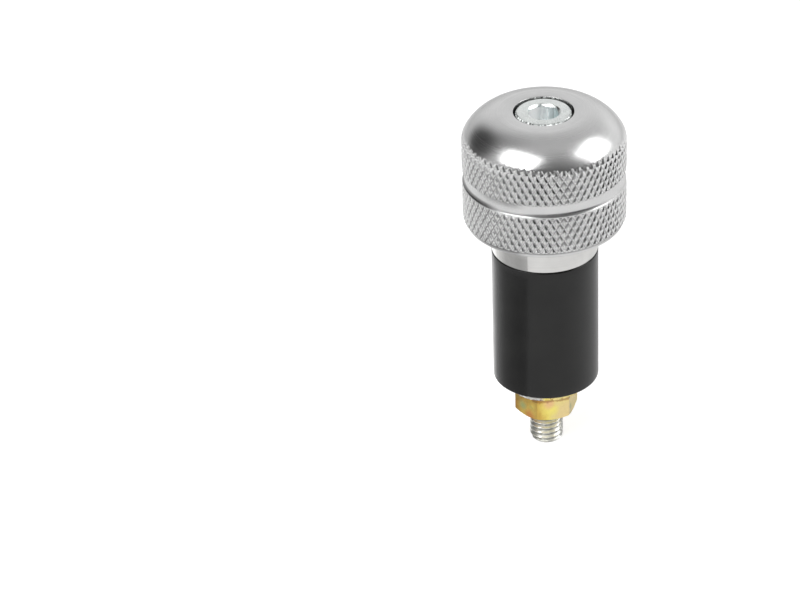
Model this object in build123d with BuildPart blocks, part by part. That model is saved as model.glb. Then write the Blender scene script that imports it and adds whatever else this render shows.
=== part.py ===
from build123d import *
import math
import os

os.makedirs("parts", exist_ok=True)

# Bar end weight, in millimetres. The axis is Z and +Z points to the domed end.
# Z = 0 is the flat underside of the end cap, which stops against the end of the handlebar.

# End cap, one turned piece of aluminium
cap_diameter = 28.4
cap_height = 20.9
flat_diameter = 15.4            # flat top inside the dome
dome_radius = 8.0
shoulder_radius = 2.2           # rounds the dome into the straight side
shoulder_sweep = 28.0           # degrees of that rounding

# Diamond knurl, rolled on two bands with a smooth groove between them
knurl_count = 66                # diamonds round the cap
knurl_angle = 30.0              # grooves lean this far from the axis, both ways
knurl_depth = 0.45
knurl_rows = 6                  # half diamonds up each band
lower_band_z = 0.80
groove_floor_z = 8.15
upper_band_z = 10.10
edge_lift = 0.03                # keeps the faceted bands just proud of the turned body
rim_height = 0.12

# Socket head cap screw, M6 x 60, and the holes it runs in
screw_diameter = 5.9
screw_length = 60.3             # below the head
screw_head_diameter = 9.8
screw_head_height = 6.0
screw_head_bevel = 0.3
screw_recess = 0.1              # head sits this far below the flat top
screw_tip_chamfer = 0.5
socket_across_flats = 5.0
socket_depth = 3.0
socket_turn = 40.0              # degrees, how far round the hexagon stopped
socket_mouth_diameter = 5.9
socket_mouth_bevel = 0.5        # radial
socket_mouth_depth = 0.3
socket_drill_depth = 1.2        # drilled cone below the hexagon
screw_hole_clearance = 0.35     # radial, plain holes
counterbore_clearance = 0.35    # radial, round the screw head
thread_clearance = 0.05         # radial, nut on screw

# Collar and rubber sleeve, together the plug that goes into the handlebar
plug_diameter = 18.7
collar_height = 5.9
collar_edge = 0.1
sleeve_length = 25.8
sleeve_edge = 0.25

# Washer and flange nut
washer_diameter = 12.0
washer_thickness = 1.2
washer_clearance = 0.25
nut_across_flats = 10.0
nut_height = 6.2
flange_diameter = 14.2
flange_thickness = 0.75
flange_slope = 25.0
nut_chamfer_angle = 30.0
nut_turn = 14.0                 # degrees, how far round the hexagon stopped

# Values that follow from those above
cap_radius = cap_diameter / 2
plug_radius = plug_diameter / 2
screw_radius = screw_diameter / 2
hole_radius = screw_radius + screw_hole_clearance
seat_z = cap_height - screw_recess - screw_head_height
sleeve_top = -collar_height
sleeve_bottom = sleeve_top - sleeve_length
washer_bottom = sleeve_bottom - washer_thickness
nut_bottom = washer_bottom - nut_height
screw_tip = seat_z - screw_length

sweep = math.radians(shoulder_sweep)
dome_x = cap_radius - shoulder_radius - (dome_radius - shoulder_radius) * math.cos(sweep)
dome_rise = math.sqrt(dome_radius**2 - (flat_diameter / 2 - dome_x) ** 2)
dome_z = cap_height - dome_rise
side_top = dome_z + (dome_radius - shoulder_radius) * math.sin(sweep)
shoulder_x = cap_radius - shoulder_radius * (1 - math.cos(sweep))
shoulder_z = side_top + shoulder_radius * math.sin(sweep)

knurl_step = math.pi * cap_radius / knurl_count     # half the width of a diamond
knurl_rise = knurl_step / math.tan(math.radians(knurl_angle))
knurl_root = cap_radius - knurl_depth
core_radius = knurl_root - edge_lift
upper_band_top = upper_band_z + knurl_rows * knurl_rise


def dome_radius_at(z):
    """Radius of the turned outline at this height."""
    if z <= side_top:
        return cap_radius
    if z <= shoulder_z:
        return cap_radius - shoulder_radius + math.sqrt(shoulder_radius**2 - (z - side_top) ** 2)
    return dome_x + math.sqrt(dome_radius**2 - (z - dome_z) ** 2)


def ring_of_points(z, radii):
    """One level of corners round the cap, two for each diamond."""
    turn = math.pi / knurl_count
    return [
        Vector(r * math.cos(k * turn), r * math.sin(k * turn), z)
        for k, r in enumerate(radii)
    ]


def knurl_level(row, z, limit):
    """Groove crossings and diamond tips alternate, and change places from row to row."""
    return ring_of_points(
        z,
        [min(knurl_root if (k + row) % 2 == 0 else cap_radius, limit) for k in range(2 * knurl_count)],
    )


def plain_level(z, radius):
    return ring_of_points(z, [radius] * (2 * knurl_count))


def knurled_drum(levels, first_row):
    """A closed drum whose side is made of the flat sides of the diamonds."""
    around = 2 * knurl_count
    faces = [Face(Wire.make_polygon(levels[0])), Face(Wire.make_polygon(levels[-1]))]
    for index in range(len(levels) - 1):
        low, high = levels[index], levels[index + 1]
        for k in range(around):
            after = (k + 1) % around
            if (k + index + first_row) % 2 == 0:
                corners = [(low[k], low[after], high[after]), (low[k], high[after], high[k])]
            else:
                corners = [(low[k], low[after], high[k]), (low[after], high[after], high[k])]
            faces += [Face(Wire.make_polygon(triangle)) for triangle in corners]
    return Solid(Shell(faces))


# End cap: the turned body first, then the two knurled bands on it
lower_levels = [plain_level(rim_height, knurl_root)]
for row in range(knurl_rows + 1):
    lower_levels.append(knurl_level(row, lower_band_z + row * knurl_rise, cap_radius))
lower_levels.append(plain_level(groove_floor_z, knurl_root))

upper_levels = []
for row in range(knurl_rows):
    z = upper_band_z + row * knurl_rise
    upper_levels.append(knurl_level(row, z, dome_radius_at(z)))
runout_radius = dome_radius_at(upper_band_top) - edge_lift
upper_levels.append(plain_level(upper_band_top, runout_radius))

with BuildPart() as end_cap:
    with BuildSketch(Plane.XZ):
        with BuildLine():
            Polyline(
                (0, 0),
                (core_radius - rim_height, 0),
                (core_radius, rim_height),
                (core_radius, upper_band_top),
                (dome_radius_at(upper_band_top), upper_band_top),
            )
            ThreePointArc(
                (dome_radius_at(upper_band_top), upper_band_top),
                (dome_radius_at((upper_band_top + cap_height) / 2), (upper_band_top + cap_height) / 2),
                (flat_diameter / 2, cap_height),
            )
            Polyline(
                (flat_diameter / 2, cap_height),
                (0, cap_height),
                (0, 0),
            )
        make_face()
    revolve(axis=Axis.Z)
    add(knurled_drum(lower_levels, 1), clean=False)
    add(knurled_drum(upper_levels, 0), clean=False)
    with BuildSketch(Plane.XY):
        Circle(hole_radius)
    extrude(amount=cap_height, mode=Mode.SUBTRACT, clean=False)
    with BuildSketch(Plane.XY.offset(seat_z)):
        Circle(screw_head_diameter / 2 + counterbore_clearance)
    extrude(amount=cap_height - seat_z, mode=Mode.SUBTRACT, clean=False)
end_cap.part.label = "end_cap"

# Spacer collar, a plain turned ring between cap and sleeve
with BuildPart() as spacer_collar:
    with BuildSketch(Plane.XZ):
        with BuildLine():
            Polyline(
                (hole_radius, 0),
                (plug_radius, 0),
                (plug_radius, sleeve_top + collar_edge),
                (plug_radius - collar_edge, sleeve_top),
                (hole_radius, sleeve_top),
                (hole_radius, 0),
            )
        make_face()
    revolve(axis=Axis.Z)
spacer_collar.part.label = "spacer_collar"

# Rubber sleeve, a thick tube that swells when the nut is drawn up
with BuildPart() as rubber_sleeve:
    with BuildSketch(Plane.XZ):
        with Locations(((hole_radius + plug_radius) / 2, (sleeve_top + sleeve_bottom) / 2)):
            Rectangle(plug_radius - hole_radius, sleeve_length)
    revolve(axis=Axis.Z)
    fillet(rubber_sleeve.edges().filter_by(GeomType.CIRCLE).group_by(Axis.Z)[0][-1:], sleeve_edge)
rubber_sleeve.part.label = "rubber_sleeve"

# Plain washer against the sleeve
with BuildPart() as washer:
    with BuildSketch(Plane.XY.offset(washer_bottom)):
        Circle(washer_diameter / 2)
        Circle(screw_radius + washer_clearance, mode=Mode.SUBTRACT)
    extrude(amount=washer_thickness)
washer.part.label = "washer"

# Flange nut: a hexagon with a wide, sloped foot against the washer
nut_corner = nut_across_flats / math.sqrt(3)
nut_bevel = (nut_corner - nut_across_flats / 2) * math.tan(math.radians(nut_chamfer_angle))
flange_radius = flange_diameter / 2
flange_drop = (flange_radius - nut_across_flats / 2) * math.tan(math.radians(flange_slope))
nut_bore = screw_radius + thread_clearance
with BuildPart() as flange_nut:
    with BuildSketch(Plane.XY.offset(nut_bottom)):
        RegularPolygon(nut_corner, 6, rotation=nut_turn)
    extrude(amount=nut_height)
    with BuildSketch(Plane.XZ):
        with BuildLine():
            Polyline(
                (0, nut_bottom),
                (nut_across_flats / 2, nut_bottom),
                (nut_corner, nut_bottom + nut_bevel),
                (nut_corner, washer_bottom),
                (0, washer_bottom),
                (0, nut_bottom),
            )
        make_face()
    revolve(axis=Axis.Z, mode=Mode.INTERSECT)
    with BuildSketch(Plane.XZ):
        with BuildLine():
            Polyline(
                (0, washer_bottom),
                (flange_radius, washer_bottom),
                (flange_radius, washer_bottom - flange_thickness),
                (nut_across_flats / 2, washer_bottom - flange_thickness - flange_drop),
                (0, washer_bottom - flange_thickness - flange_drop),
                (0, washer_bottom),
            )
        make_face()
    revolve(axis=Axis.Z)
    with BuildSketch(Plane.XY.offset(nut_bottom)):
        Circle(nut_bore)
    extrude(amount=nut_height, mode=Mode.SUBTRACT)
flange_nut.part.label = "flange_nut"

# Socket head cap screw, its thread left plain here
socket_corner = socket_across_flats / math.sqrt(3)
head_top = seat_z + screw_head_height
screw_head_radius = screw_head_diameter / 2
with BuildPart() as socket_screw:
    with BuildSketch(Plane.XZ):
        with BuildLine():
            Polyline(
                (0, screw_tip),
                (screw_radius - screw_tip_chamfer, screw_tip),
                (screw_radius, screw_tip + screw_tip_chamfer),
                (screw_radius, seat_z),
                (screw_head_radius, seat_z),
                (screw_head_radius, head_top - screw_head_bevel),
                (screw_head_radius - screw_head_bevel, head_top),
                (0, head_top),
                (0, screw_tip),
            )
        make_face()
    revolve(axis=Axis.Z)
    with BuildSketch(Plane.XY.offset(head_top)):
        RegularPolygon(socket_corner, 6, rotation=socket_turn)
    extrude(amount=-socket_depth, mode=Mode.SUBTRACT)
    with BuildSketch(Plane.XZ):
        with BuildLine():
            Polyline(
                (0, head_top),
                (socket_mouth_diameter / 2, head_top),
                (socket_mouth_diameter / 2 - socket_mouth_bevel, head_top - socket_mouth_depth),
                (0, head_top - socket_mouth_depth),
                (0, head_top),
            )
        make_face()
    revolve(axis=Axis.Z, mode=Mode.SUBTRACT)
    with BuildSketch(Plane.XZ):
        with BuildLine():
            Polyline(
                (0, head_top - socket_depth),
                (socket_across_flats / 2, head_top - socket_depth),
                (0, head_top - socket_depth - socket_drill_depth),
                (0, head_top - socket_depth),
            )
        make_face()
    revolve(axis=Axis.Z, mode=Mode.SUBTRACT)
socket_screw.part.label = "socket_screw"

export_step(end_cap.part, "parts/end_cap.step")
export_step(spacer_collar.part, "parts/spacer_collar.step")
export_step(rubber_sleeve.part, "parts/rubber_sleeve.step")
export_step(washer.part, "parts/washer.step")
export_step(flange_nut.part, "parts/flange_nut.step")
export_step(socket_screw.part, "parts/socket_screw.step")

for built in (end_cap, spacer_collar, rubber_sleeve, washer, flange_nut, socket_screw):
    solid = built.part
    print(solid.label, "faces", len(solid.faces()), "volume", round(solid.volume, 1), "valid", solid.is_valid)
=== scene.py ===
import math
import bpy
from mathutils import Matrix, Vector, noise


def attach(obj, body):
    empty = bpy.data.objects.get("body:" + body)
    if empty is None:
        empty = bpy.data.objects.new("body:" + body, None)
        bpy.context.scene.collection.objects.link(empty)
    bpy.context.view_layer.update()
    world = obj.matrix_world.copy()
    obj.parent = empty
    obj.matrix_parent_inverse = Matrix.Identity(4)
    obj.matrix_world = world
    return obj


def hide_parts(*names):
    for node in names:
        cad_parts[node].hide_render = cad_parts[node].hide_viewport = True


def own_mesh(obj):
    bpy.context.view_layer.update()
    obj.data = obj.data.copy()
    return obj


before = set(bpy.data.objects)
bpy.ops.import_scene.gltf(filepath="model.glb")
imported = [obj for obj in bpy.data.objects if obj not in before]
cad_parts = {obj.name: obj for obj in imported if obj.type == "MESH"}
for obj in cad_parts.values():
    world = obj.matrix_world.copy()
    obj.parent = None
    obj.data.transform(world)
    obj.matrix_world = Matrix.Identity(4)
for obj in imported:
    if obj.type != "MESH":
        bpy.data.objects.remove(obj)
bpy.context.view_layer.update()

mm = 0.001
print("frame loaded:", len(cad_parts), "nodes")


# Meshes. Their points come in millimetres, the scene is in metres.

def makeObject(name, points, faces, sharpAngle=32):
    mesh = bpy.data.meshes.new(name)
    mesh.from_pydata([(x * mm, y * mm, z * mm) for x, y, z in points], [], faces)
    mesh.validate()
    mesh.update()
    for polygon in mesh.polygons:
        polygon.use_smooth = True
    mesh.set_sharp_from_angle(angle=math.radians(sharpAngle))
    piece = bpy.data.objects.new(name, mesh)
    bpy.context.scene.collection.objects.link(piece)
    return piece


def placePiece(piece, body, material, nodeName):
    piece.data.materials.append(material)
    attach(piece, body)
    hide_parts(nodeName)
    print("made", piece.name, "with", len(piece.data.polygons), "faces")


def roundCorners(corners, steps=5):
    # corners are (radius, height, rounding); a rounding of 0 stays sharp
    outline = []
    count = len(corners)
    for index, (r, z, size) in enumerate(corners):
        if size <= 0:
            outline.append((r, z))
            continue
        here = Vector((r, z))
        before = Vector(corners[index - 1][:2]) - here
        after = Vector(corners[(index + 1) % count][:2]) - here
        half = before.angle(after) / 2
        cut = min(size / math.tan(half), before.length * 0.49, after.length * 0.49)
        radius = cut * math.tan(half)
        bisector = (before.normalized() + after.normalized()).normalized()
        middle = here + bisector * (radius / math.sin(half))
        start = here + before.normalized() * cut - middle
        end = here + after.normalized() * cut - middle
        for step in range(steps + 1):
            way = start.normalized().slerp(end.normalized(), step / steps) * radius
            outline.append((middle.x + way.x, middle.y + way.y))
    return outline


def joinRings(faces, low, high, around):
    # quads between the rings of points that begin at low and high
    for k in range(around):
        after = (k + 1) % around
        faces.append((low + k, low + after, high + after, high + k))


def revolve(name, outline, around):
    # an outline of (radius, height), from the top of the bore outwards, goes once round Z
    points, faces = [], []
    for r, z in outline:
        for k in range(around):
            turn = 2 * math.pi * k / around
            points.append((r * math.cos(turn), r * math.sin(turn), z))
    rows = len(outline)
    for row in range(rows):
        joinRings(faces, (row + 1) % rows * around, row * around, around)
    return makeObject(name, points, faces)


# Nodes. Material coordinates are in millimetres too.

def newMaterial(name):
    material = bpy.data.materials.new(name)
    material.use_nodes = True
    tree = material.node_tree
    tree.nodes.clear()
    return material, tree


def addNode(tree, kind, inputs=None, **settings):
    node = tree.nodes.new(kind)
    for key, value in settings.items():
        setattr(node, key, value)
    for key, value in (inputs or {}).items():
        if isinstance(value, bpy.types.NodeSocket):
            tree.links.new(value, node.inputs[key])
        else:
            node.inputs[key].default_value = value
    return node


def addSurface(tree, shaderNode, outputKind="ShaderNodeOutputMaterial"):
    output = tree.nodes.new(outputKind)
    tree.links.new(shaderNode.outputs[0], output.inputs["Surface"])


def addShader(tree, colour, roughness, normal, metallic):
    shader = addNode(tree, "ShaderNodeBsdfPrincipled", {
        "Base Color": colour, "Roughness": roughness, "Normal": normal, "Metallic": metallic})
    addSurface(tree, shader)
    return shader


def mathNode(tree, operation, first, second=0.0, clamp=False):
    return addNode(tree, "ShaderNodeMath", {0: first, 1: second},
                   operation=operation, use_clamp=clamp).outputs[0]


def product(tree, first, *others):
    for other in others:
        first = mathNode(tree, "MULTIPLY", first, other)
    return first


def blendOf(tree, first, second, share):
    return mathNode(tree, "ADD", product(tree, first, share), product(tree, second, 1 - share))


def aroundZero(tree, noiseValue, width):
    # noise lies about 0.5: this brings it about 0, and widens it
    return product(tree, mathNode(tree, "SUBTRACT", noiseValue, 0.5), width)


def vectorNode(tree, operation, first, second=(0, 0, 0)):
    node = addNode(tree, "ShaderNodeVectorMath", {0: first, 1: second}, operation=operation)
    return node.outputs["Value" if operation in ("LENGTH", "DISTANCE", "DOT_PRODUCT") else 0]


def mixColours(tree, share, first, second):
    if not isinstance(second, bpy.types.NodeSocket):
        second = (*second, 1)
    mix = addNode(tree, "ShaderNodeMix", {0: share, 6: first, 7: second}, data_type="RGBA")
    return mix.outputs[2]


def mixValues(tree, share, first, second):
    return addNode(tree, "ShaderNodeMix", {0: share, 2: first, 3: second}).outputs[0]


def separate(tree, vector):
    return addNode(tree, "ShaderNodeSeparateXYZ", {0: vector}).outputs


def objectPoint(tree):
    where = addNode(tree, "ShaderNodeTexCoord").outputs["Object"]
    return vectorNode(tree, "MULTIPLY", where, (1000, 1000, 1000))


def distanceFromAxis(tree, point):
    x, y, _ = separate(tree, point)
    flat = addNode(tree, "ShaderNodeCombineXYZ", {0: x, 1: y}).outputs[0]
    return vectorNode(tree, "LENGTH", flat)


def noiseNode(tree, point, scale, detail=3.0, roughness=0.5):
    return addNode(tree, "ShaderNodeTexNoise", {
        "Vector": point, "Scale": scale, "Detail": detail, "Roughness": roughness}).outputs["Fac"]


def latheNoise(tree, point, pitch):
    # the same all the way round, as the marks of a lathe are
    along = addNode(tree, "ShaderNodeCombineXYZ", {
        0: distanceFromAxis(tree, point), 2: separate(tree, point)[2]}).outputs[0]
    return noiseNode(tree, along, pitch, 2, 0.6)


def rampNode(tree, factor, stops):
    ramp = addNode(tree, "ShaderNodeValToRGB", {0: factor})
    while len(ramp.color_ramp.elements) < len(stops):
        ramp.color_ramp.elements.new(0.5)
    for element, (place, colour) in zip(ramp.color_ramp.elements, stops):
        element.position = place
        element.color = (*colour, 1)
    return ramp.outputs["Color"]


def rangeNode(tree, value, low, high, toLow, toHigh):
    return addNode(tree, "ShaderNodeMapRange", {
        "Value": value, "From Min": low, "From Max": high, "To Min": toLow, "To Max": toHigh,
    }).outputs[0]


def past(tree, value, edge):
    # 0 before the two values of the edge, 1 past them
    return rangeNode(tree, value, *edge, 0.0, 1.0)


def notPast(tree, value, edge):
    return rangeNode(tree, value, *edge, 1.0, 0.0)


def factorWhere(tree, share, factor):
    # 1 where the share is 0, the factor where it is 1
    return rangeNode(tree, share, 0.0, 1.0, 1.0, factor)


def bumpNode(tree, height, strength, depth, under=None):
    inputs = {"Height": height, "Strength": strength, "Distance": depth * mm}
    if under is not None:
        inputs["Normal"] = under
    return addNode(tree, "ShaderNodeBump", inputs).outputs["Normal"]


# Finishes, each with its values before it. An edge is a pair of heights or distances between
# which one look passes into the next.

satinAluminium = {
    "dark": (0.64, 0.64, 0.64),
    "light": (0.71, 0.71, 0.71),
    "cloudScale": 0.35,
    "grainScale": 6.0,
    "smoothRoughness": 0.26,
    "knurlRoughness": 0.14,
    "tornRoughness": 0.14,       # added on the tops of the diamonds
    "ringRoughness": 0.10,
    "lathePitch": 9.0,
    "latheDepth": 0.0008,
    "tornScale": 4.5,
    "tornDepth": 0.25,
    "tornFrom": (14.14, 14.19),
    # where the rolled bands begin and end
    "bandsStart": (0.4, 0.7),
    "lowerBandEnd": (7.5, 7.6),
    "upperBandStart": (10.1, 10.2),
    "bandsEnd": (16.6, 17.4),
    "wallFrom": (12.8, 13.3),
    # the rolled bands are made lighter by this, as a painted sparkle highlight
    "knurlHighlightTone": 1.14,
    # painted shade between the diamonds, as deep as this, and none near the dome
    "grooveShadeTone": 0.42,
    "grooveDepth": (14.03, 14.07),
    "grooveShadeEnd": (14.6, 15.4),
    # painted shade on one side of the foot of the smooth groove
    "footShadeTone": 0.36,
    "footStart": (7.80, 7.84),
    "footEnd": (8.45, 8.75),
    "footSide": (-10.0, -7.6),
}


def makeSatinAluminium(look):
    material, tree = newMaterial("satinAluminium")
    point = objectPoint(tree)
    away = distanceFromAxis(tree, point)
    x, _, height = separate(tree, point)
    rings = latheNoise(tree, point, look["lathePitch"])
    grain = noiseNode(tree, point, look["grainScale"], 3, 0.65)
    tone = blendOf(tree, noiseNode(tree, point, look["cloudScale"], 4), grain, 0.45)
    colour = rampNode(tree, tone, [(0.32, look["dark"]), (0.66, look["light"])])

    inBands = mathNode(tree, "MAXIMUM", notPast(tree, height, look["lowerBandEnd"]),
                       past(tree, height, look["upperBandStart"]))
    knurled = product(tree, inBands, past(tree, height, look["bandsStart"]),
                      notPast(tree, height, look["bandsEnd"]), past(tree, away, look["wallFrom"]))
    # painted shade darkens the grooves between the diamonds
    grooveShade = product(tree, knurled, notPast(tree, away, look["grooveDepth"]),
                    notPast(tree, height, look["grooveShadeEnd"]))
    # painted shade on the left side of the smooth groove's foot
    shadedFoot = product(tree, past(tree, height, look["footStart"]),
                     notPast(tree, height, look["footEnd"]), notPast(tree, x, look["footSide"]))
    # the rolled bands are made lighter as a painted sparkle highlight
    shade = product(tree, factorWhere(tree, grooveShade, look["grooveShadeTone"]),
                    factorWhere(tree, knurled, look["knurlHighlightTone"]),
                    factorWhere(tree, shadedFoot, look["footShadeTone"]))
    colour = vectorNode(tree, "MULTIPLY", colour, shade)

    # only the tops of the diamonds are torn, the sides of the grooves are pressed smooth
    onTop = product(tree, knurled, past(tree, away, look["tornFrom"]))
    roughness = rangeNode(tree, knurled, 0.0, 1.0, look["smoothRoughness"], look["knurlRoughness"])
    spread = mathNode(tree, "ADD", aroundZero(tree, rings, look["ringRoughness"]),
                      product(tree, onTop, look["tornRoughness"]))
    roughness = mathNode(tree, "ADD", roughness, spread, clamp=True)
    fine = bumpNode(tree, blendOf(tree, rings, grain, 0.6), 0.35, look["latheDepth"])
    torn = product(tree, noiseNode(tree, point, look["tornScale"], 3, 0.6), onTop)
    addShader(tree, colour, roughness, bumpNode(tree, torn, 0.6, look["tornDepth"], fine), 1.0)
    return material


brightAluminium = {
    "dark": (0.61, 0.605, 0.595),
    "light": (0.73, 0.725, 0.71),
    "roughness": (0.07, 0.13),
    "cloudScale": 0.3,
    "lathePitch": 14.0,
    "latheDepth": 0.0015,
}


def makeBrightAluminium(look):
    material, tree = newMaterial("brightAluminium")
    point = objectPoint(tree)
    rings = latheNoise(tree, point, look["lathePitch"])
    tone = blendOf(tree, noiseNode(tree, point, look["cloudScale"], 3), rings, 0.5)
    addShader(tree, rampNode(tree, tone, [(0.35, look["dark"]), (0.62, look["light"])]),
              rangeNode(tree, rings, 0.3, 0.7, *look["roughness"]),
              bumpNode(tree, rings, 0.3, look["latheDepth"]), 1.0)
    return material


blackRubber = {
    "dark": (0.002, 0.002, 0.002),
    "light": (0.008, 0.008, 0.0075),
    "roughness": (0.17, 0.25),
    "cloudScale": 0.22,
    "grainScale": 9.0,
    "grainDepth": 0.012,
    "shine": 0.40,
}


def makeBlackRubber(look):
    material, tree = newMaterial("blackRubber")
    point = objectPoint(tree)
    grain = noiseNode(tree, point, look["grainScale"], 3, 0.6)
    tone = blendOf(tree, noiseNode(tree, point, look["cloudScale"], 4), grain, 0.7)
    shader = addShader(tree, rampNode(tree, tone, [(0.35, look["dark"]), (0.65, look["light"])]),
                       rangeNode(tree, tone, 0.35, 0.65, *look["roughness"]),
                       bumpNode(tree, grain, 0.35, look["grainDepth"]), 0.0)
    shader.inputs["Specular IOR Level"].default_value = look["shine"]
    return material


yellowZinc = {
    "brown": (0.47, 0.26, 0.07),
    "gold": (0.72, 0.50, 0.12),
    "yellow": (0.93, 0.78, 0.20),
    "straw": (0.90, 0.76, 0.30),
    "pink": (0.88, 0.70, 0.34),
    "patchScale": 0.16,
    "sideways": 0.052,           # how fast the tints pass from one side of the nut to the other
    "roughness": (0.22, 0.38),
    "grainScale": 7.0,
    "grainDepth": 0.006,
    "green": (0.38, 0.46, 0.20),
    "greenScale": 0.42,
    "greenFrom": (0.58, 0.70),
    "greenShare": 0.75,
    # soft spots of tint: middle, size and colour
    "spots": [
        ((-4.3, -3.0, -37.2), 1.3, (0.44, 0.52, 0.24)),
        ((-3.1, -4.2, -38.5), 1.6, (0.72, 0.30, 0.10)),
        ((-5.6, -1.8, -34.6), 2.2, (0.42, 0.34, 0.10)),
        ((1.4, -5.0, -37.0), 1.6, (0.98, 0.86, 0.22)),
        ((0.6, -5.2, -35.6), 1.5, (0.90, 0.56, 0.30)),
    ],
    "spotShare": 0.85,
    # the flange's rim has a painted white highlight between two sides, in front
    "rimHighlight": (1.0, 1.0, 0.98),
    "highlightRoughness": 1.0,
    "rimFrom": (-34.0, -33.8),
    "highlightLeft": (-5.0, -4.6),
    "highlightRight": (-0.2, -1.2),
    "highlightFront": (0.0, -1.0),
    # a ragged dark brown line runs under the rim, all round
    "darkBrown": (0.30, 0.10, 0.04),
    "lineFrom": (-35.42, -35.12),
    "lineEnd": (-33.62, -33.50),
    "lineShare": 0.62,
    "raggedScale": 1.3,
    "raggedHeight": 1.2,
    # and the rest of the rim has dark brown specks
    "speckScale": 2.2,
    "speckFrom": (0.50, 0.60),
    "speckSide": (-0.6, 0.4),
    "speckShare": 0.75,
}


def makeYellowZinc(look):
    # passivated zinc: gold that turns brown on one side and pink on the other
    material, tree = newMaterial("yellowZinc")
    point = objectPoint(tree)
    x, y, height = separate(tree, point)
    patches = noiseNode(tree, point, look["patchScale"], 3, 0.55)
    tint = rampNode(tree, mathNode(tree, "ADD", patches, product(tree, x, look["sideways"])), [
        (0.20, look["brown"]), (0.38, look["gold"]), (0.52, look["yellow"]),
        (0.66, look["straw"]), (0.80, look["pink"]),
    ])
    shifted = vectorNode(tree, "ADD", point, (31.0, 7.0, 3.0))
    green = past(tree, noiseNode(tree, shifted, look["greenScale"], 3, 0.6), look["greenFrom"])
    tint = mixColours(tree, product(tree, green, look["greenShare"]), tint, look["green"])
    for middle, size, colour in look["spots"]:
        away = mathNode(tree, "ADD", vectorNode(tree, "DISTANCE", point, middle),
                        aroundZero(tree, patches, 2.0))
        near = product(tree, notPast(tree, away, (size * 0.35, size)), look["spotShare"])
        tint = mixColours(tree, near, tint, colour)

    ragged = noiseNode(tree, point, look["raggedScale"], 3, 0.7)
    raggedHeight = mathNode(tree, "ADD", height, aroundZero(tree, ragged, look["raggedHeight"]))
    # painted white highlight on the front of the flange's rim
    rimHighlight = product(tree, past(tree, raggedHeight, look["rimFrom"]), past(tree, x, look["highlightLeft"]),
                   past(tree, x, look["highlightRight"]), past(tree, y, look["highlightFront"]))
    tint = mixColours(tree, rimHighlight, tint, look["rimHighlight"])
    line = product(tree, notPast(tree, raggedHeight, look["lineEnd"]),
                   past(tree, raggedHeight, look["lineFrom"]), look["lineShare"])
    specks = past(tree, noiseNode(tree, shifted, look["speckScale"], 3, 0.7), look["speckFrom"])
    specks = product(tree, specks, past(tree, height, look["rimFrom"]),
                     past(tree, x, look["speckSide"]), look["speckShare"])
    tint = mixColours(tree, mathNode(tree, "MAXIMUM", line, specks), tint, look["darkBrown"])

    grain = noiseNode(tree, point, look["grainScale"], 3, 0.6)
    roughness = mixValues(tree, rimHighlight, rangeNode(tree, grain, 0.3, 0.7, *look["roughness"]),
                          look["highlightRoughness"])
    addShader(tree, tint, roughness, bumpNode(tree, grain, 0.3, look["grainDepth"]), 1.0)
    return material


brightZinc = {
    "dark": (0.72, 0.75, 0.74),
    "light": (0.86, 0.89, 0.875),
    "roughness": (0.20, 0.32),
    "patchScale": 0.5,
    "grainScale": 8.0,
    "grainDepth": 0.006,
    "headFrom": (-20.0, 0.0),
    # the thread, with painted shade in its roots and along one side
    "threadDark": (0.84, 0.84, 0.78),
    "threadLight": (0.97, 0.97, 0.93),
    "threadRoughness": 0.36,
    "rootTone": 0.60,
    "rootDepth": (2.46, 2.70),
    "sideTone": 0.34,
    "sideFrom": (1.5, 2.5),
    "sidePatchy": 0.55,
    "spotScale": 1.5,
    "spotFrom": (0.46, 0.58),
    # the notched edge of the head
    "bevelTone": 0.25,
    "bevelRoughness": 0.45,
    "bevelFrom": (4.50, 4.60),
    "bevelHeight": (19.0, 19.5),
    # the socket's walls are torn by the broach, with painted light on one side and painted bluish
    # shade on the other
    "litWall": (0.98, 0.98, 0.98),
    "shadedWall": (0.60, 0.69, 0.70),
    "wallAcross": (-1.0, 2.2),
    "wallPatchy": 2.5,
    "roughAcross": (-1.0, 1.6),
    "socketRoughness": (0.95, 0.40),
    "socketFloor": (15.0, 15.2),
    "socketMouth": (20.3, 20.5),
    "socketWidth": (3.1, 3.3),
    "streaks": (4.5, 4.5, 0.25),
    "streakTone": (0.76, 1.28),
    "streakFrom": (-0.6, 0.8),
}


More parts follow.
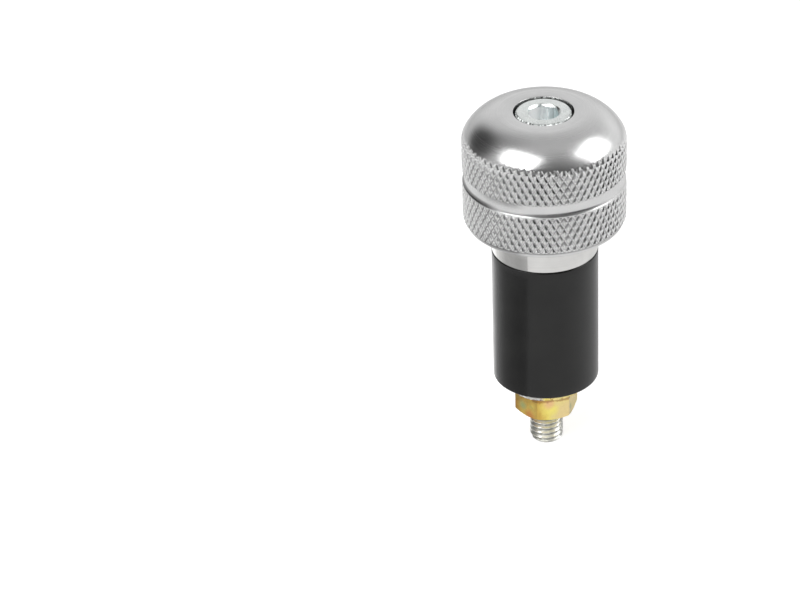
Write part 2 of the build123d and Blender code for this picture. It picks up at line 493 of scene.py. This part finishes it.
def makeBrightZinc(look):
    material, tree = newMaterial("brightZinc")
    point = objectPoint(tree)
    x, _, height = separate(tree, point)
    away = distanceFromAxis(tree, point)
    grain = noiseNode(tree, point, look["grainScale"], 3, 0.6)
    tone = blendOf(tree, noiseNode(tree, point, look["patchScale"], 4, 0.6), grain, 0.6)
    spots = past(tree, noiseNode(tree, point, look["spotScale"], 2, 0.6), look["spotFrom"])
    onHead = past(tree, height, look["headFrom"])
    onBevel = product(tree, past(tree, away, look["bevelFrom"]),
                      past(tree, height, look["bevelHeight"]))
    inSocket = product(tree, notPast(tree, height, look["socketMouth"]),
                       past(tree, height, look["socketFloor"]),
                       notPast(tree, away, look["socketWidth"]))

    thread = rampNode(tree, tone, [(0.36, look["threadDark"]), (0.64, look["threadLight"])])
    # painted shade in the thread's roots and along its right side
    onSide = product(tree, past(tree, x, look["sideFrom"]),
                     rangeNode(tree, spots, 0.0, 1.0, look["sidePatchy"], 1.0))
    threadShade = product(tree, rangeNode(tree, away, *look["rootDepth"], look["rootTone"], 1.0),
                   factorWhere(tree, onSide, look["sideTone"]))
    head = rampNode(tree, tone, [(0.36, look["dark"]), (0.64, look["light"])])
    head = vectorNode(tree, "MULTIPLY", head,
                      factorWhere(tree, product(tree, onBevel, spots), look["bevelTone"]))
    outside = mixColours(tree, onHead, vectorNode(tree, "MULTIPLY", thread, threadShade), head)

    # painted light on one side of the socket's walls and painted bluish shade on the other
    across = mathNode(tree, "ADD", x, aroundZero(tree, grain, look["wallPatchy"]))
    wall = rampNode(tree, past(tree, across, look["wallAcross"]),
                    [(0.0, look["litWall"]), (1.0, look["shadedWall"])])
    streaks = noiseNode(tree, vectorNode(tree, "MULTIPLY", point, look["streaks"]), 1.0, 2, 0.6)
    streaks = mixValues(tree, past(tree, across, look["streakFrom"]), 1.0,
                        rangeNode(tree, streaks, 0.36, 0.64, *look["streakTone"]))
    wall = vectorNode(tree, "MULTIPLY", wall, streaks)
    colour = mixColours(tree, inSocket, outside, vectorNode(tree, "MINIMUM", wall, (1, 1, 1)))

    roughness = rangeNode(tree, grain, 0.3, 0.7, *look["roughness"])
    roughness = mixValues(tree, onHead, look["threadRoughness"], roughness)
    roughness = mixValues(tree, onBevel, roughness, look["bevelRoughness"])
    roughness = mixValues(tree, inSocket, roughness,
                          rangeNode(tree, across, *look["roughAcross"], *look["socketRoughness"]))
    addShader(tree, colour, roughness, bumpNode(tree, tone, 0.3, look["grainDepth"]), 1.0)
    return material


satinMetal = makeSatinAluminium(satinAluminium)
brightMetal = makeBrightAluminium(brightAluminium)
rubber = makeBlackRubber(blackRubber)
goldZinc = makeYellowZinc(yellowZinc)
paleZinc = makeBrightZinc(brightZinc)
print("materials made")


# The knurled end cap is a single skin, from the screw hole round to the counterbore.

capShape = {
    "radius": 14.2,
    "height": 20.9,
    "flatRadius": 7.7,
    "domeRadius": 8.0,
    "shoulderRadius": 2.2,
    "shoulderSweep": 28.0,
    "holeRadius": 3.3,
    "counterboreRadius": 5.25,
    "seatHeight": 14.8,
    "diamonds": 66,
    "grooveAngle": 30.0,
    "knurlDepth": 0.19,
    "rowsPerBand": 6,
    "lowerBand": 0.80,           # height at which the band begins
    "upperBand": 10.10,
    "edgeChamfer": 0.22,
    # the smooth groove, and the hollow at its foot
    "grooveFloor": 13.85,
    "footTop": 8.73,
    "footHollow": 1.25,
    "footTurn": 38.0,
    # place across a diamond and how far the metal is raised there
    "crossSection": [(0.0, 0.0), (0.03, 0.03), (0.16, 0.50), (0.29, 0.98), (0.5, 1.0)],
    # share by which the depth wanders, and by which it grows near the dome
    "wander": 0.22,
    "deeperTop": 1.1,
    "raggedTop": 0.9,
    "topReach": 2.4,
    "domeSteps": 18,
}


def domeOutline(shape):
    sweep = math.radians(shape["shoulderSweep"])
    small, large, radius = shape["shoulderRadius"], shape["domeRadius"], shape["radius"]
    centreX = radius - small - (large - small) * math.cos(sweep)
    centreZ = shape["height"] - math.sqrt(large ** 2 - (shape["flatRadius"] - centreX) ** 2)
    sideTop = centreZ + (large - small) * math.sin(sweep)

    def radiusAt(z):
        if z <= sideTop:
            return radius
        if z <= sideTop + small * math.sin(sweep):
            return radius - small + math.sqrt(small ** 2 - (z - sideTop) ** 2)
        return centreX + math.sqrt(max(0.0, large ** 2 - (z - centreZ) ** 2))

    return radiusAt, centreX, centreZ


def makeKnurledCap(shape):
    radiusAt, centreX, centreZ = domeOutline(shape)
    diamonds, radius, top = shape["diamonds"], shape["radius"], shape["height"]
    halfWidth = math.pi * radius / diamonds
    diamondHeight = 2 * halfWidth / math.tan(math.radians(shape["grooveAngle"]))
    section = shape["crossSection"]
    samples = section + [(1 - place, lift) for place, lift in section[-2:0:-1]]
    perCell = len(samples)
    around = diamonds * perCell
    bandRows = shape["rowsPerBand"] * perCell
    bandHeight = shape["rowsPerBand"] * diamondHeight / 2
    lowerBand, upperBand = shape["lowerBand"], shape["upperBand"]
    lowerTop, upperTop = lowerBand + bandHeight, upperBand + bandHeight
    floor, hole, bore, seat = (
        shape[key] for key in ("grooveFloor", "holeRadius", "counterboreRadius", "seatHeight"))
    points, faces = [], []

    foot = []
    for step in range(9):
        turn = math.radians(shape["footTurn"]) * (1 - step / 8)
        foot.append((floor + shape["footHollow"] * (1 - math.cos(turn)),
                     shape["footTop"] - shape["footHollow"] * math.sin(turn)))

    def latticePlace(index):
        return index // perCell + samples[index % perCell][0], samples[index % perCell][1]

    def ringPoint(r, place, z):
        turn = place * 2 * math.pi / diamonds
        return r * math.cos(turn), r * math.sin(turn), z

    def addRow(line):
        points.extend(line)
        return len(points) - around

    def bandPoint(row, k, bottom, offset, meetsDome):
        # the two families of grooves run along the lattice's two directions
        placeA, liftA = latticePlace(k + row)
        placeB, liftB = latticePlace(k)
        place = (placeA + placeB) / 2 + offset
        z = bottom + (placeA - placeB) * diamondHeight / 2
        way = Vector(ringPoint(1, place, 0))
        wander = 1 + shape["wander"] * noise.noise(way * 9 + Vector((0, 0, z * 0.9)))
        limit = min(radiusAt(z), radius - shape["edgeChamfer"] + (z - bottom))
        if meetsDome:
            nearTop = max(0.0, 1 - (bottom + bandHeight - z) / shape["topReach"])
            ragged = shape["raggedTop"] * noise.noise(way * 22 + Vector((0, 0, z)))
            wander += nearTop * (shape["deeperTop"] + ragged)
        else:
            limit = min(limit, foot[0][0] + 0.02 + (bottom + bandHeight - z))
        r = radius - shape["knurlDepth"] * wander * (1 - min(liftA, liftB))
        return ringPoint(min(r, limit), place, z)

    def addBand(bottom, offset, meetsDome, previous):
        starts = [addRow([bandPoint(row, k, bottom, offset, meetsDome) for k in range(around)])
                  for row in range(bandRows + 1)]
        joinRings(faces, previous, starts[0], around)
        for row in range(bandRows + 1):
            for k in range(around):
                after = (k + 1) % around
                here, beside = starts[row] + k, starts[row] + after
                if row == 0:
                    faces.append((here, beside, starts[1] + k))
                elif row == bandRows:
                    faces.append((here, starts[row - 1] + after, beside))
                else:
                    faces.append((here, starts[row - 1] + after, beside, starts[row + 1] + k))
        return starts[-1]

    def addRings(outline, offset, previous=None):
        for r, z in outline:
            start = addRow([ringPoint(r, latticePlace(k)[0] + offset, z) for k in range(around)])
            if previous is not None:
                joinRings(faces, previous, start, around)
            previous = start
        return previous

    underside = roundCorners([
        (hole, seat / 2, 0), (hole, 0.0, 0.25), (13.80, 0.0, 0.22), (13.92, lowerBand - 0.08, 0.0),
    ], 4)
    groove = ([(foot[0][0], lowerTop + 0.02)] + foot
              + [(floor, upperBand - 0.06), (floor + 0.02, upperBand - 0.01)])
    dome = []
    startAngle = math.asin((upperTop - centreZ) / shape["domeRadius"])
    endAngle = math.asin((top - centreZ) / shape["domeRadius"])
    for step in range(1, shape["domeSteps"] + 1):
        angle = startAngle + (endAngle - startAngle) * step / shape["domeSteps"]
        dome.append((centreX + shape["domeRadius"] * math.cos(angle),
                     centreZ + shape["domeRadius"] * math.sin(angle)))
    inner = roundCorners([
        (shape["flatRadius"], top, 0), (bore, top, 0.07), (bore, seat, 0.2), (hole, seat, 0.1),
        (hole, seat / 2 + 0.5, 0),
    ], 4)

    shift = shape["rowsPerBand"] / 2     # each band moves the seam on by this many diamonds
    last = addRings(underside, 0)
    last = addBand(lowerBand, 0, False, last)
    last = addRings(groove, shift, last)
    last = addBand(upperBand, shift, True, last)
    last = addRings(dome + [(7.3, top), (6.6, top)] + inner[1:], 2 * shift, last)

    # close the skin inside the screw hole, where the seam has moved on by whole diamonds
    move = round(2 * shift) * perCell
    for k in range(around):
        after = (k + 1) % around
        faces.append((last + k, last + after, (after + move) % around, (k + move) % around))
    return makeObject("knurledCap", points, faces, 25)


knurledCap = makeKnurledCap(capShape)
placePiece(knurledCap, "cap_body", satinMetal, "end_cap")


collarShape = {
    "radius": 9.3, "bore": 3.3, "top": 0.0, "bottom": -5.9,
    "topRound": 0.1, "bottomRound": 0.26,
}


def makeCollar(shape):
    radius, bore, top, bottom = (shape[key] for key in ("radius", "bore", "top", "bottom"))
    return revolve("turnedCollar", roundCorners([
        (bore, top, 0), (radius, top, shape["topRound"]),
        (radius, bottom, shape["bottomRound"]), (bore, bottom, 0),
    ], 6), 192)


placePiece(makeCollar(collarShape), "cap_body", brightMetal, "spacer_collar")


sleeveShape = {
    "radius": 9.35, "bore": 3.3, "top": -5.9, "bottom": -31.7,
    "topRound": 0.22, "bottomRound": 0.25, "boreRound": 0.3,
    "squashedTo": 0.9225,        # share of its length that is left when the nut is drawn up
}


def makeSleeve(shape):
    radius, bore, top, bottom = (shape[key] for key in ("radius", "bore", "top", "bottom"))
    wall = [(radius, top + (bottom - top) * step / 14, 0) for step in range(1, 14)]
    return revolve("rubberSleeve", roundCorners(
        [(bore, top, 0), (radius, top, shape["topRound"])] + wall
        + [(radius, bottom, shape["bottomRound"]), (bore, bottom, shape["boreRound"])], 5), 192)


rubberSleeve = makeSleeve(sleeveShape)
placePiece(rubberSleeve, "cap_body", rubber, "rubber_sleeve")
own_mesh(rubberSleeve)


washerShape = {
    "radius": 6.0, "bore": 3.2, "top": -31.7, "bottom": -32.9,
    "round": 0.1, "stampedRound": 0.28,
}


def makeWasher(shape):
    radius, bore, top, bottom, small = (
        shape[key] for key in ("radius", "bore", "top", "bottom", "round"))
    return revolve("flatWasher", roundCorners([
        (bore, top, small), (radius, top, shape["stampedRound"]),
        (radius, bottom, small), (bore, bottom, small),
    ], 4), 128)


placePiece(makeWasher(washerShape), "nut_body", goldZinc, "washer")


nutShape = {
    "acrossFlats": 10.0, "top": -32.9, "bottom": -39.1, "bore": 3.0, "boreMouth": 3.3,
    "flangeRadius": 7.1, "flangeThickness": 0.75, "flangeRound": 0.12, "flangeSlope": 25.0,
    "chamferAngle": 30.0, "chamferFrom": 0.985, "cornerRound": 0.06, "turn": 14.0,
    # degrees from a corner of the hexagon at which its sides have points
    "sideSteps": (0, 0.8, 1.6, 2.6, 4, 8, 14, 22, 30, 38, 46, 52, 56, 57.4, 58.4, 59.2),
}


def hexagonRadius(acrossFlats, degrees, rounding):
    # distance from the middle to the side of a hexagon with a corner at 0 degrees
    away = abs((degrees % 60) - 30)
    plain = acrossFlats / 2 / math.cos(math.radians(away))
    return min(plain, acrossFlats / math.sqrt(3) - rounding)


def polarPoint(r, degrees, z):
    return r * math.cos(math.radians(degrees)), r * math.sin(math.radians(degrees)), z


def makeFlangeNut(shape):
    flats, top, bottom, turn, bore, flange, rim = (shape[key] for key in (
        "acrossFlats", "top", "bottom", "turn", "bore", "flangeRadius", "flangeRound"))
    slope = math.tan(math.radians(shape["flangeSlope"]))
    chamfer = math.tan(math.radians(shape["chamferAngle"]))
    flangeEdge = top - shape["flangeThickness"]
    chamferStart = flats / 2 * shape["chamferFrom"]

    def fixed(r, z):
        return lambda degrees: (r, z)

    def sideAt(share):
        # a row on the hexagon, from its chamfered end to the flange's cone
        def place(degrees):
            r = hexagonRadius(flats, degrees - turn, shape["cornerRound"])
            low = bottom + max(0.0, r - chamferStart) * chamfer
            high = flangeEdge - (flange - r) * slope
            return r, low + (high - low) * share
        return place

    flangeRound = roundCorners([
        (bore, top, 0), (flange, top, rim), (flange, flangeEdge, rim),
        (flats / 2, flangeEdge - (flange - flats / 2) * slope, 0),
    ], 4)
    rows = [fixed(bore, bottom + 0.5), fixed(shape["boreMouth"], bottom)]
    rows += [fixed(chamferStart, bottom)] + [sideAt(share) for share in (0, 0.25, 0.5, 0.75, 1)]
    rows += [fixed(r, z) for r, z in reversed(flangeRound[1:-1])]
    rows += [fixed(bore + 0.3, top), fixed(bore, top - 0.3)]
    degreesList = sorted({round((turn + 60 * corner + step) % 360, 3)
                          for corner in range(6) for step in shape["sideSteps"]})
    points, faces = [], []
    around = len(degreesList)
    for index, row in enumerate(rows):
        for degrees in degreesList:
            r, z = row(degrees)
            points.append(polarPoint(r, degrees, z))
        joinRings(faces, index * around, (index + 1) % len(rows) * around, around)
    return makeObject("flangeNut", points, faces, 28)


placePiece(makeFlangeNut(nutShape), "nut_body", goldZinc, "flange_nut")


screwShape = {
    "radius": 2.95, "tip": -45.5, "tipRadius": 1.2, "seat": 14.8,
    "threadTop": -21.5, "pitch": 1.0, "threadDepth": 0.55, "rowsPerPitch": 10, "fadeLength": 1.5,
    "leadDepth": 0.5, "leadSlope": 0.85,
    "headRadius": 4.9, "headTop": 20.8, "bevel": 0.3, "serrations": 48, "serrationDepth": 0.20,
    "socketFlats": 5.0, "socketDepth": 3.0, "socketRound": 0.04, "mouth": 2.95, "mouthSlope": 0.75,
    "socketTurn": 40.0, "drillRadius": 2.2, "drillDepth": 1.2,
    "around": 192,
}


def makeScrew(shape):
    around, radius, tip, pitch, seat, top, head, bevel, mouth = (shape[key] for key in (
        "around", "radius", "tip", "pitch", "seat", "headTop", "headRadius", "bevel", "mouth"))
    degreesList = [shape["socketTurn"] + step * 360 / around for step in range(around)]
    points, faces = [], []
    starts = []

    def addRing(radiusAt, heightAt):
        # radius and height are numbers, or functions of the angle
        starts.append(len(points))
        for degrees in degreesList:
            r = radiusAt(degrees) if callable(radiusAt) else radiusAt
            z = heightAt(degrees) if callable(heightAt) else heightAt
            points.append(polarPoint(r, degrees, z))
        if len(starts) > 1:
            joinRings(faces, starts[-2], starts[-1], around)

    def threadRadius(degrees, z):
        # right-handed: the crest climbs as it goes round
        phase = ((z - tip) / pitch - degrees / 360) % 1.0
        away = abs(phase - 0.5) * 2      # 0 on the crest, 1 in the root
        lift = min(1.0, max(0.0, (0.86 - away) / 0.72))
        r = radius - shape["threadDepth"] * (1 - lift)
        r = min(r, radius - shape["leadDepth"] + (z - tip) * shape["leadSlope"])
        fade = min(1.0, max(0.0, (z - shape["threadTop"]) / shape["fadeLength"] + 1))
        return r + (radius - r) * fade

    addRing(shape["tipRadius"], tip)
    rowCount = int((shape["threadTop"] - tip) * shape["rowsPerPitch"] / pitch)
    for step in range(rowCount + 1):
        z = tip + step * pitch / shape["rowsPerPitch"]
        addRing(lambda degrees: threadRadius(degrees, z), z)

    def notched(r):
        # the head's side has pressed notches that run out on its bevel
        return lambda degrees: r - shape["serrationDepth"] * (
            0.5 - 0.5 * math.cos(math.radians(degrees * shape["serrations"])))

    for r, z in roundCorners([
        (radius, shape["threadTop"] + 1, 0), (radius, seat, 0.15), (head, seat, 0.12),
        (head, top - bevel, 0.14), (head - bevel, top, 0.12), (mouth, top, 0),
    ], 4):
        onSide = r > head - bevel + 0.02 and z > seat + 0.3
        addRing(notched(r) if onSide else r, z)

    def socket(degrees):
        return hexagonRadius(
            shape["socketFlats"], degrees - shape["socketTurn"], shape["socketRound"])

    def mouthHeight(degrees):
        return top - (mouth - socket(degrees)) * shape["mouthSlope"]

    floor = top - shape["socketDepth"]
    addRing(lambda degrees: socket(degrees) + 0.03, mouthHeight)
    addRing(socket, lambda degrees: mouthHeight(degrees) - 0.05)
    addRing(socket, top - 1.2)
    addRing(socket, floor)
    addRing(shape["drillRadius"], floor - 0.1)

    # the two ends close on a point each
    low, high = starts[0], starts[-1]
    points.extend([(0, 0, tip + 0.05), (0, 0, floor - shape["drillDepth"])])
    for k in range(around):
        after = (k + 1) % around
        faces.append((len(points) - 2, low + after, low + k))
        faces.append((high + k, high + after, len(points) - 1))
    return makeObject("socketScrew", points, faces, 30)


placePiece(makeScrew(screwShape), "screw_body", paleZinc, "socket_screw")


# Studio: a table, two softboxes, two reflector cards and the room. Azimuth 0 is the camera's
# side and grows to the right, angles are in degrees.

studio = {
    "floorHeight": -45.5,
    # corners of the table: it ends close in front, where the room is dark
    "floorCorners": [(-3.14, -2.04), (5.57, 2.98), (6.0, 6.0), (-1.5, 6.0)],
    "floorColour": (0.84, 0.84, 0.84, 1),
    "floorGlow": 0.42,
    "ambient": 0.55,
    "boxDistance": 0.80,
    "leftBox": {"azimuth": -43, "elevation": 48, "size": (0.56, 0.46), "power": 3.2},
    "rightBox": {"azimuth": 91, "elevation": 38, "size": (0.52, 0.52), "power": 2.8},
    # what the metal mirrors: the grey of the room with soft patches of light laid over it
    "room": 0.54,
    "lightPatches": [
        {"azimuth": 180, "elevation": 2, "inner": 5, "outer": 72, "light": 0.95},
        {"azimuth": 140, "elevation": 6, "inner": 6, "outer": 34, "light": 1.05},
    ],
    # the dark room behind the camera, the left wall and its corner, from these elevations up
    "darkPatches": [
        {"azimuth": 5, "elevation": 14, "inner": 22, "outer": 78, "light": 0.13, "from": (9, 16)},
        {"azimuth": -110, "elevation": 48, "inner": 8, "outer": 38, "light": 0.30, "from": (0, 4)},
        {"azimuth": -115, "elevation": 25, "inner": 15, "outer": 36, "light": 0.03, "from": (-1, 2)},
    ],
    # light along the horizon, by azimuth, up to where the patches take over
    "horizon": [
        (-180, 0.70), (-66, 0.75), (-30, 0.85), (-16, 0.32), (-4, 0.17), (20, 0.11),
        (36, 0.03), (64, 0.03), (80, 0.55), (92, 0.88), (140, 0.95), (180, 0.70),
    ],
    "horizonTop": (9, 16),
    # fans of light on the table, left of the weight, that only the pieces mirror: light by azimuth
    "greyCard": [(-36, 0.56), (-52, 0.44), (-90, 0.53), (-112, 0.80)],
    "whiteCard": [(-122, 0.95), (-140, 1.50), (-172, 1.50)],
    "cardReach": (18, 80),
    "cardSteps": 24,
    "cardStrength": 2.0,
}


def directionFrom(azimuth, elevation):
    side, up = math.radians(azimuth), math.radians(elevation)
    return Vector((math.sin(side) * math.cos(up), -math.cos(side) * math.cos(up), math.sin(up)))


def azimuthNode(tree, point):
    x, y, _ = separate(tree, point)
    return mathNode(tree, "ARCTAN2", x, product(tree, y, -1.0))


def addSoftbox(name, place, distance):
    lamp = bpy.data.lights.new(name, "AREA")
    lamp.shape = "RECTANGLE"
    lamp.size, lamp.size_y = place["size"]
    lamp.energy = place["power"]
    box = bpy.data.objects.new(name, lamp)
    bpy.context.scene.collection.objects.link(box)
    box.location = directionFrom(place["azimuth"], place["elevation"]) * distance
    box.rotation_euler = (-box.location).to_track_quat("-Z", "Y").to_euler()
    box.visible_camera = False


def addSheet(name, points, faces, material):
    mesh = bpy.data.meshes.new(name)
    mesh.from_pydata([(x * mm, y * mm, z * mm) for x, y, z in points], [], faces)
    mesh.materials.append(material)
    sheet = bpy.data.objects.new(name, mesh)
    bpy.context.scene.collection.objects.link(sheet)
    return sheet


def makeFloor(look):
    material, tree = newMaterial("studioFloor")
    path = addNode(tree, "ShaderNodeLightPath").outputs
    seen = product(tree, path["Is Camera Ray"], look["floorGlow"])
    glow = addNode(tree, "ShaderNodeEmission", {"Color": (1, 1, 1, 1), "Strength": seen})
    matte = addNode(tree, "ShaderNodeBsdfDiffuse", {"Color": look["floorColour"]})
    both = addNode(tree, "ShaderNodeAddShader", {0: matte.outputs[0], 1: glow.outputs[0]})
    addSurface(tree, both)
    corners = [(x / mm, y / mm, look["floorHeight"]) for x, y in look["floorCorners"]]
    addSheet("studioFloor", corners, [(0, 1, 2, 3)], material)


def addCard(name, lights, look):
    first, last = lights[0][0], lights[-1][0]
    steps, strength = look["cardSteps"], look["cardStrength"]
    points = []
    for step in range(steps + 1):
        for reach in look["cardReach"]:
            way = directionFrom(first + (last - first) * step / steps, 0) * reach
            points.append((way.x, way.y, look["floorHeight"] + 1))
    faces = [(2 * step, 2 * step + 1, 2 * step + 3, 2 * step + 2) for step in range(steps)]
    material, tree = newMaterial(name)
    azimuth = azimuthNode(tree, objectPoint(tree))
    share = past(tree, azimuth, (math.radians(first), math.radians(last)))
    light = rampNode(tree, share, [
        ((degrees - first) / (last - first), (level / strength,) * 3) for degrees, level in lights])
    addSurface(tree, addNode(tree, "ShaderNodeEmission", {"Color": light, "Strength": strength}))
    card = addSheet(name, points, faces, material)
    card.visible_camera = False
    card.visible_diffuse = False
    card.visible_shadow = False


def makeWorld(look):
    world = bpy.data.worlds.new("studioWorld")
    bpy.context.scene.world = world
    world.use_nodes = True
    tree = world.node_tree
    tree.nodes.clear()
    where = addNode(tree, "ShaderNodeTexCoord").outputs["Generated"]
    elevation = mathNode(tree, "ARCSINE", separate(tree, where)[2])

    def patchShare(patch):
        middle = directionFrom(patch["azimuth"], patch["elevation"])
        towards = vectorNode(tree, "DOT_PRODUCT", where, middle)
        return addNode(tree, "ShaderNodeMapRange", {
            "Value": mathNode(tree, "ARCCOSINE", towards),
            "From Min": math.radians(patch["outer"]),
            "From Max": math.radians(patch["inner"]),
        }, interpolation_type="SMOOTHSTEP").outputs[0]

    def higherThan(edge):
        return past(tree, elevation, [math.radians(degrees) for degrees in edge])

    level = look["room"]
    for patch in look["lightPatches"]:
        level = mixValues(tree, patchShare(patch), level, patch["light"])
    turn = past(tree, azimuthNode(tree, where), (-math.pi, math.pi))
    horizon = rampNode(tree, turn, [
        ((degrees + 180) / 360, (light, light, light)) for degrees, light in look["horizon"]])
    level = mixValues(tree, higherThan(look["horizonTop"]), horizon, level)
    for patch in look["darkPatches"]:
        share = product(tree, patchShare(patch), higherThan(patch["from"]))
        level = mixValues(tree, share, level, patch["light"])

    # only mirror rays see the room, the camera sees white and the rest an even light
    path = addNode(tree, "ShaderNodeLightPath").outputs
    mirrored = rangeNode(tree, path["Is Glossy Ray"], 0.0, 1.0, look["ambient"], level)
    openWay = mathNode(tree, "MAXIMUM", path["Is Camera Ray"], path["Is Transmission Ray"])
    strength = rangeNode(tree, openWay, 0.0, 1.0, mirrored, 1.0)
    back = addNode(tree, "ShaderNodeBackground", {"Color": (1, 1, 1, 1), "Strength": strength})
    addSurface(tree, back, "ShaderNodeOutputWorld")


makeFloor(studio)
makeWorld(studio)
addCard("greyCard", studio["greyCard"], studio)
addCard("whiteCard", studio["whiteCard"], studio)
addSoftbox("leftBox", studio["leftBox"], studio["boxDistance"])
addSoftbox("rightBox", studio["rightBox"], studio["boxDistance"])
print("studio made")


cameraPlace = {
    "location": (0.0, -0.51853, 0.30325),
    "aim": (-0.02563, 0.0, -0.01668),
    "roll": 2.019,
    "lens": 155.47,
    "sensorWidth": 36,
    "nearest": 0.01,
}


def makeCamera(place):
    lens = bpy.data.cameras.new("camera")
    lens.lens = place["lens"]
    lens.sensor_width = place["sensorWidth"]
    lens.clip_start = place["nearest"]
    camera = bpy.data.objects.new("camera", lens)
    bpy.context.scene.collection.objects.link(camera)
    way = Vector(place["aim"]) - Vector(place["location"])
    turn = way.to_track_quat("-Z", "Y").to_matrix().to_4x4()
    roll = Matrix.Rotation(math.radians(-place["roll"]), 4, "Z")
    camera.matrix_world = Matrix.Translation(place["location"]) @ turn @ roll
    bpy.context.scene.camera = camera


makeCamera(cameraPlace)
bpy.context.scene.view_settings.view_transform = "Standard"
